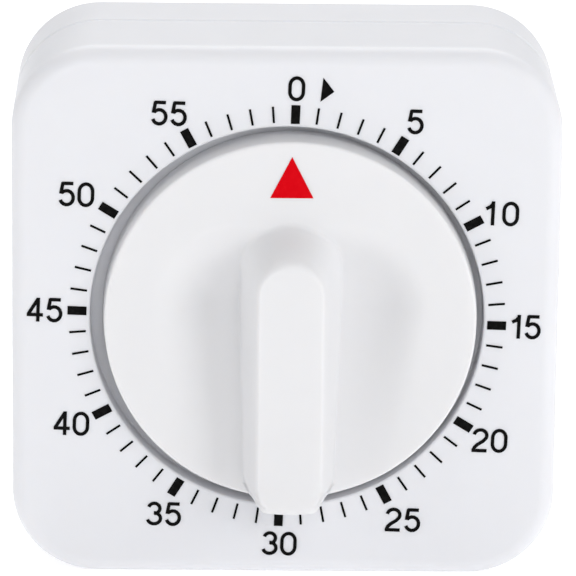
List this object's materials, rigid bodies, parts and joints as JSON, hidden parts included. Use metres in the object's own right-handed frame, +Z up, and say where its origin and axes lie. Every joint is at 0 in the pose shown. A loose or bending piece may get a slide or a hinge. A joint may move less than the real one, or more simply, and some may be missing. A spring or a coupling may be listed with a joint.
{
  "type": "mechanical timer",
  "caption": "Square free-standing clockwork interval timer with a round grip knob, printed minute scale, gear train, escapement and bell.",
  "frame": {"origin": "centre of the overall box at the flat underside the timer stands on", "axes": "+Z up, the dial faces -Y and the knob turns about a line along Y; +X is to the right of a viewer facing the dial"},
  "size_m": [0.069, 0.0342, 0.069],
  "materials": {
    "white_plastic": "satin gloss",
    "knob_plastic": "satin gloss",
    "black_ink": "satin",
    "red_ink": "satin",
    "zinc_steel": "zinc plated",
    "turned_steel": "turned",
    "spring_steel": "blued",
    "brass": "rolled",
    "plated_bell": "nickel plated"
  },
  "bodies": {
    "case": {"front_case": "white_plastic", "rear_cover": "white_plastic", "cover_screws": "zinc_steel", "minute_marks": "black_ink", "five_minute_marks": "black_ink", "numerals": "black_ink", "direction_arrow": "black_ink", "shaft_bush": "brass", "movement_front_plate": "zinc_steel", "movement_rear_plate": "zinc_steel", "plate_pillars": "turned_steel", "pillar_screws": "zinc_steel", "movement_screws": "zinc_steel", "mainspring": "spring_steel", "hammer_post": "turned_steel", "hammer_spring": "spring_steel", "bell": "plated_bell", "bell_screw": "plated_bell"},
    "dial": {"knob": "knob_plastic", "pointer_mark": "red_ink", "dial_shaft": "turned_steel", "main_wheel": "brass", "friction_washer": "spring_steel", "retaining_clip": "turned_steel", "alarm_cam": "brass"},
    "second_wheel_set": {"second_arbor": "turned_steel", "second_pinion": "turned_steel", "second_wheel": "brass"},
    "third_wheel_set": {"third_arbor": "turned_steel", "third_pinion": "turned_steel", "third_wheel": "brass"},
    "fourth_wheel_set": {"fourth_arbor": "turned_steel", "fourth_pinion": "turned_steel", "fourth_wheel": "brass"},
    "escape_wheel_set": {"escape_arbor": "turned_steel", "escape_pinion": "turned_steel", "escape_wheel": "brass"},
    "verge_set": {"verge_arbor": "turned_steel", "verge": "brass", "pallet_pins": "turned_steel", "balance_bar": "brass"},
    "hammer": {"hammer_arm": "zinc_steel", "hammer_head": "brass"}
  },
  "joints": [
    {"name": "dial_turn", "type": "hinge", "parent": "case", "child": "dial", "pos_m": [0.0006, -0.00985, 0.0342], "axis": [0, 1, 0], "range_deg": [0, 354]},
    {"name": "second_wheel_turn", "type": "hinge", "parent": "case", "child": "second_wheel_set", "pos_m": [0.01576, -0.00985, 0.04295], "axis": [0, 1, 0], "range_deg": [-2125, 1]},
    {"name": "third_wheel_turn", "type": "hinge", "parent": "case", "child": "third_wheel_set", "pos_m": [0.01165, -0.00985, 0.05423], "axis": [0, 1, 0], "range_deg": [-1, 10621]},
    {"name": "fourth_wheel_turn", "type": "hinge", "parent": "case", "child": "fourth_wheel_set", "pos_m": [0.00265, -0.00985, 0.05423], "axis": [0, 1, 0], "range_deg": [-53101, 1]},
    {"name": "escape_wheel_turn", "type": "hinge", "parent": "case", "child": "escape_wheel_set", "pos_m": [-0.00577, -0.00985, 0.05274], "axis": [0, 1, 0], "range_deg": [-1, 283201]},
    {"name": "verge_rock", "type": "hinge", "parent": "case", "child": "verge_set", "pos_m": [-0.01253, -0.00985, 0.05028], "axis": [0, 1, 0], "range_deg": [-6, 6]},
    {"name": "hammer_lift", "type": "hinge", "parent": "case", "child": "hammer", "pos_m": [-0.0124, -0.00985, 0.0252], "axis": [0, -1, 0], "range_deg": [0, 12], "stiffness_Nm_per_rad": 0.004, "springref_deg": -11.46}
  ],
  "couplings": [
    {"joint": "second_wheel_turn", "follows": "dial_turn", "ratio": -6},
    {"joint": "third_wheel_turn", "follows": "dial_turn", "ratio": 30},
    {"joint": "fourth_wheel_turn", "follows": "dial_turn", "ratio": -150},
    {"joint": "escape_wheel_turn", "follows": "dial_turn", "ratio": 800}
  ]
}
